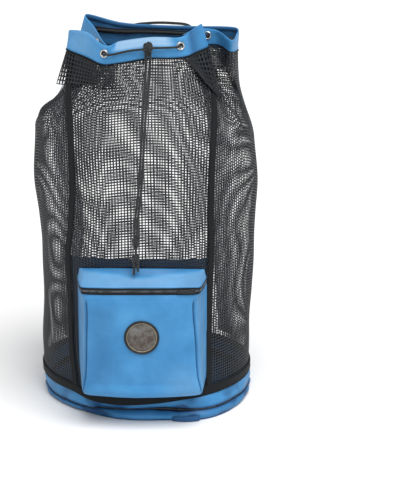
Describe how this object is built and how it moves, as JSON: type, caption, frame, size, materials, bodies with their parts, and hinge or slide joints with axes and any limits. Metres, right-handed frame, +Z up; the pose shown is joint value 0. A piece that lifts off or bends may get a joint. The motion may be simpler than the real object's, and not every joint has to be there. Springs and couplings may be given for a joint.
{
  "type": "mesh backpack",
  "caption": "Upright open-net backpack with a gathered drawcord collar, taped front seams, a gusseted zip pocket and a round zipped base that it stands on.",
  "frame": {"origin": "on the floor, at the middle of the base's underside", "axes": "+Z up from the base to the mouth, -Y out of the front pocket, +X to the right as seen from the front"},
  "size_m": [0.4247, 0.4553, 0.7262],
  "materials": {
    "nylon": "sky-blue coated pack nylon, fine plain weave, soft sheen",
    "webbing": "black woven polypropylene webbing",
    "net": "black plastic-coated polyester net",
    "zip": "black coil zip on coated tape",
    "rubber": "moulded grey rubber patch with a dark rim",
    "nickel": "nickel-plated pressed eyelet",
    "cord": "black braided polyester cord"
  },
  "bodies": {
    "root": {"base_floor": "nylon", "base_wall_lower": "nylon", "base_wall_upper": "nylon", "base_zip": "zip", "base_binding": "webbing", "base_grab_loop": "nylon", "front_net": "net", "right_net": "net", "back_net": "net", "left_net": "net", "front_tape_left": "webbing", "front_tape_right": "webbing", "pocket_body": "nylon", "pocket_zip": "zip", "pocket_top": "nylon", "pocket_backing": "nylon", "pocket_badge": "rubber", "pocket_zip_pull": "zip", "collar": "nylon", "collar_anchor_tape": "webbing", "haul_loop": "webbing", "eyelet_front_left": "nickel", "eyelet_left_fold": "nickel", "eyelet_left_side": "nickel", "eyelet_right_side": "nickel", "eyelet_right_fold": "nickel", "eyelet_front_right": "nickel", "drawcord": "cord", "drawcord_knot": "cord", "cord_tail_left": "cord", "cord_tail_right": "cord", "tail_knot": "cord", "shoulder_strap_right": "nylon", "shoulder_strap_left": "nylon"}
  },
  "joints": []
}
